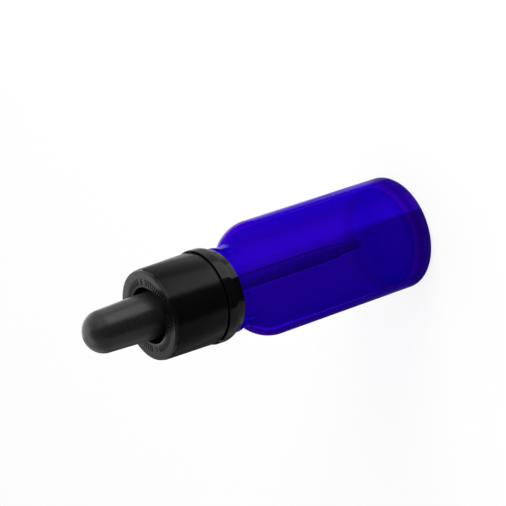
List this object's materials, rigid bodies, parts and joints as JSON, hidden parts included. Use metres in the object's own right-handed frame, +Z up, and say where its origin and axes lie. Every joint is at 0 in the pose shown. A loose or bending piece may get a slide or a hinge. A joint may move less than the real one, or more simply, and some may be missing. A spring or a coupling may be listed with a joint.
{
  "type": "tincture bottle",
  "caption": "Round glass dropper bottle with a child-resistant, tamper-evident closure: ribbed cap, threaded inner cap, rubber bulb and glass pipette.",
  "frame": {"origin": "centre of the base, on the surface the bottle stands on", "axes": "+Z up along the bottle's axis, from the base to the bulb"},
  "size_m": [0.033, 0.033, 0.1076],
  "materials": {
    "cobalt_glass": "transparent cobalt blue glass, fire-polished",
    "gloss_black_plastic": "black polypropylene, glossy",
    "inner_cap_plastic": "black polypropylene, satin",
    "satin_black_plastic": "black polypropylene, satin, fine upright ribs",
    "black_rubber": "black rubber, satin",
    "clear_glass": "clear drawn glass tube"
  },
  "bodies": {
    "bottle": {"glass_bottle": "cobalt_glass"},
    "band": {"tamper_band": "gloss_black_plastic"},
    "dropper": {"glass_pipette": "clear_glass"},
    "closure": {"inner_cap": "inner_cap_plastic"},
    "shell": {"outer_cap": "satin_black_plastic"},
    "bulb": {"rubber_bulb": "black_rubber"}
  },
  "joints": [
    {"name": "dropper_lift", "type": "slide", "parent": "bottle", "child": "dropper", "axis": [0, 0, 1], "range_m": [0, 0.069]},
    {"name": "closure_turn", "type": "hinge", "parent": "dropper", "child": "closure", "pos_m": [0, 0, 0.0788], "axis": [0, 0, 1], "range_deg": [0, 8281]},
    {"name": "outer_cap_push", "type": "slide", "parent": "closure", "child": "shell", "axis": [0, 0, -1], "range_m": [0, 0.0012], "stiffness_N_per_m": 400, "springref_m": -0.0001},
    {"name": "bulb_squeeze", "type": "slide", "parent": "dropper", "child": "bulb", "axis": [0, 0, -1], "range_m": [0, 0.004], "stiffness_N_per_m": 120, "springref_m": -0.0005, "deforming": ["rubber_bulb"]},
    {"name": "tamper_band_drop", "type": "slide", "parent": "bottle", "child": "band", "axis": [0, 0, -1], "range_m": [0, 0.0005]}
  ],
  "couplings": [
    {"joint": "closure_turn", "follows": "dropper_lift", "rad_per_m": 2094.4}
  ]
}
